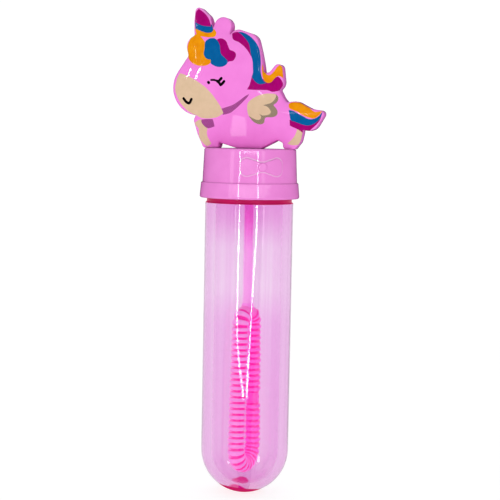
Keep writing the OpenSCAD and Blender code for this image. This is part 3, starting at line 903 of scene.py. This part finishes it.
# The collar under the cap gets painted shade of the gap under the lip, glowing a little as painted light
tube_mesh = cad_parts["tube"].data
tube_mesh.materials.append(collar_shade_glow("collar_painted_shade"))
for polygon in tube_mesh.polygons:
    on_collar = COLLAR_LOW < polygon.center.z / MM < COLLAR_TOP
    if on_collar and polygon.center.xy.length / MM > COLLAR_INNER * TUBE_R:
        polygon.material_index = 1

# Camera
azimuth = math.radians(CAMERA_AZIMUTH)
elevation = math.radians(CAMERA_ELEVATION)
roll = math.radians(CAMERA_ROLL)
away = Vector((math.sin(azimuth) * math.cos(elevation), -math.cos(azimuth) * math.cos(elevation),
               math.sin(elevation)))
right = Vector((math.cos(azimuth), math.sin(azimuth), 0))
up = away.cross(right)
camera_x = math.cos(roll) * right + math.sin(roll) * up
camera_y = -math.sin(roll) * right + math.cos(roll) * up
target = (TARGET_RIGHT * right + Vector((0, 0, TARGET_HEIGHT))) * MM
lens = bpy.data.cameras.new("camera")
lens.sensor_width = 36
lens.lens = CAMERA_LENS
lens.clip_start = 0.01
camera = put("camera", lens)
turn = Matrix((camera_x, camera_y, away)).transposed().to_4x4()
camera.matrix_world = Matrix.Translation(target + away * CAMERA_DISTANCE * MM) @ turn
bpy.context.scene.camera = camera


def glow(name, strength):
    """A plain glowing surface for the studio's light cards."""
    look = NodeMaterial(name)
    look.feed(look.shader, Base_Color=(0, 0, 0, 1), Specular_IOR_Level=0, Emission_Color=(1, 1, 1, 1),
              Emission_Strength=strength)
    return look.material


def keep_light_on(item, lit):
    """Lets a light or card light only the given pieces."""
    group = bpy.data.collections.new(item.name + "_lit")
    for piece in lit:
        group.objects.link(piece)
    item.light_linking.receiver_collection = group


def card(name, rows, strength, lit):
    """A strip of light for some pieces: rows of angle from the camera, height, angle across and distance."""
    mesh = bpy.data.meshes.new(name)
    verts = []
    steps = 8
    for angle, height, width, reach in rows:
        for k in range(steps + 1):
            turn = azimuth + math.radians(angle + width * (k / steps - 0.5))
            verts.append((reach * math.sin(turn) * MM, -reach * math.cos(turn) * MM, height * MM))
    faces = []
    for row in range(len(rows) - 1):
        for k in range(steps):
            a = row * (steps + 1) + k
            faces.append((a, a + 1, a + steps + 2, a + steps + 1))
    mesh.from_pydata(verts, [], faces)
    mesh.materials.append(glow(name, strength))
    item = put(name, mesh)
    item.visible_camera = False
    item.visible_diffuse = False
    item.visible_transmission = False
    item.visible_shadow = False
    keep_light_on(item, lit)


# Cards by the pieces they light: strength, and rows of angle, height, angle across and distance
CARDS = {
    "tube": {
        "light_tube_left": (26, [(-24.7, 92, 4.5, 120), (-24.7, 70, 4.5, 120), (-24.6, 58, 2.4, 120),
                                 (-24.6, 43, 2.2, 120), (-23, 35, 2.2, 120), (-14, 22, 3, 120),
                                 (-5, 14, 4, 120)]),
        "light_tube_right": (26, [(19.1, 92, 3, 120), (19.1, 78, 3, 120), (15, 65, 4, 120),
                                  (10.6, 50, 2.4, 120), (8.5, 38, 2.2, 120), (5, 27, 3, 120),
                                  (3, 14, 4, 120)]),
        "light_tube_far_left": (5, [(-51.3, 92, 2.4, 120), (-51.3, 12, 2.4, 120)]),
        "light_tube_next_left": (4, [(-33, 92, 3, 120), (-33, 72, 3, 120)]),
        "light_tube_far_right": (4, [(36.5, 92, 4, 120), (36.5, 48, 4, 120)]),
        "light_tube_edge_right": (4, [(44, 56, 1.6, 120), (44, 16, 1.6, 120)]),
        "light_tube_round": (0.9, [(180, 190, 220, 120), (180, 0.3, 330, 120), (180, 0.3, 330, 2)]),
        "light_glint_left": (12, [(-34.5, 6.2, 4, 30), (-34.5, 1.8, 4, 30)]),
        "light_glint_right": (10, [(28.9, 10.8, 6, 30), (28.9, 4.4, 6, 30)]),
    },
    "cap": {
        "light_cap_left": (22, [(-24, 118.2, 1.8, 120), (-24, 100, 1.8, 120)]),
        "light_cap_right": (22, [(18.4, 118.2, 1.8, 120), (18.4, 100, 1.8, 120)]),
        "light_cap_bar": (12, [(-2.8, 118.2, 44, 120), (-2.8, 117.6, 44, 120)]),
        "light_cap_far_left": (1.6, [(-55, 119, 3, 120), (-55, 100, 3, 120)]),
        "light_cap_next_left": (1.5, [(-42, 119, 9, 120), (-42, 100, 9, 120)]),
        "light_cap_far_right": (1.5, [(30.5, 119, 7, 120), (30.5, 100, 7, 120)]),
        "light_lip": (2.2, [(0, 154.5, 150, 400), (0, 145, 150, 400)]),
    },
    "figure": {
        "light_face_left": (55, [(-54, 184, 0.8, 250), (-52.3, 166, 0.8, 250)]),
        "light_face_right": (60, [(-43.8, 172, 0.8, 250), (-45.5, 167, 0.8, 250), (-46.1, 153.5, 0.8, 250)]),
        "light_muzzle": (3, [(-53.7, 157, 1.4, 250), (-53, 115, 1.4, 250)]),
        "light_belly": (2.6, [(-26.1, 106, 6.4, 120), (-28, 86, 7.5, 120), (-31.7, 52, 9.4, 120)]),
        "light_wing": (14, [(-11.6, 169.5, 1.2, 250), (-9.4, 162.8, 1.2, 250)]),
        "light_mane": (10, [(18.4, 205, 1.6, 250), (15.4, 236, 1.6, 250)]),
        "light_figure_round": (0.8, [(180, 300, 170, 250), (180, 40, 170, 250)]),
        "light_edge": (4, [(80, 240, 30, 250), (80, 60, 30, 250)]),
    },
}
lit_pieces = {
    "tube": [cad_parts["tube"]],
    "cap": [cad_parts["cap"], bow],
    "figure": [front, back],
}
for group, cards in CARDS.items():
    for name, (strength, rows) in cards.items():
        card(name, rows, strength, lit_pieces[group])

# Pale floor that curves up into a backdrop
FLOOR_NEAR = -1.6
FLOOR_FAR = 0.7
FLOOR_BEND = 0.5
FLOOR_TOP = 2.2
FLOOR_HALF = 2.5
floor = bpy.data.meshes.new("floor")
profile = [(FLOOR_NEAR, 0.0), (FLOOR_FAR, 0.0)]
for t in np.radians(np.arange(10, 91, 10)):
    profile.append((FLOOR_FAR + FLOOR_BEND * math.sin(t), FLOOR_BEND - FLOOR_BEND * math.cos(t)))
profile.append((FLOOR_FAR + FLOOR_BEND, FLOOR_TOP))
floor_verts = []
for y, z in profile:
    floor_verts += [(-FLOOR_HALF, y, z), (FLOOR_HALF, y, z)]
floor_faces = [(2 * k, 2 * k + 1, 2 * k + 3, 2 * k + 2) for k in range(len(profile) - 1)]
floor.from_pydata(floor_verts, [], floor_faces)
smooth(floor)
paper = NodeMaterial("floor_paper")
cloud = paper.noise(paper.add("TexCoord").outputs["Object"], 6.0, 2.0)
tone = paper.ramp(cloud, [(0.3, (0.27, 0.27, 0.27)), (0.7, (0.3, 0.3, 0.3))])
paper.feed(paper.shader, Base_Color=tone, Roughness=0.9, Specular_IOR_Level=0.1,
           Emission_Color=(1, 1, 1, 1), Emission_Strength=0.83)
floor.materials.append(paper.material)
floor_object = put("floor", floor)
floor_object.visible_glossy = False

# Soft studio light
world = bpy.data.worlds.new("studio")
world.use_nodes = True
world.node_tree.nodes["Background"].inputs["Color"].default_value = (1, 1, 1, 1)
world.node_tree.nodes["Background"].inputs["Strength"].default_value = 0.62
bpy.context.scene.world = world
world.cycles_visibility.glossy = False


def lamp(name, place, aim, size, power, lit):
    """A large soft lamp, for all or for some pieces."""
    data = bpy.data.lights.new(name, "AREA")
    data.size = size
    data.energy = power
    item = put(name, data)
    item.location = place
    item.rotation_euler = (Vector(aim) - Vector(place)).to_track_quat("-Z", "Y").to_euler()
    item.visible_glossy = False
    if lit:
        keep_light_on(item, lit)


lamp("lamp_front", (0.1, -0.75, 0.5), (0, 0, 0.08), 0.5, 0.3, None)
lamp("lamp_low", (-0.25, -0.7, 0.02), (0, 0, 0.12), 0.25, 2.2, lit_pieces["figure"])
lamp("lamp_right", (0.5, -0.38, 0.1), (0, 0, 0.118), 0.2, 0.6, lit_pieces["figure"])
lamp("lamp_cap", (0.08, -0.75, 0.2), (0, 0, 0.1), 0.4, 1.5, lit_pieces["cap"])
bpy.context.scene.view_settings.view_transform = "Standard"
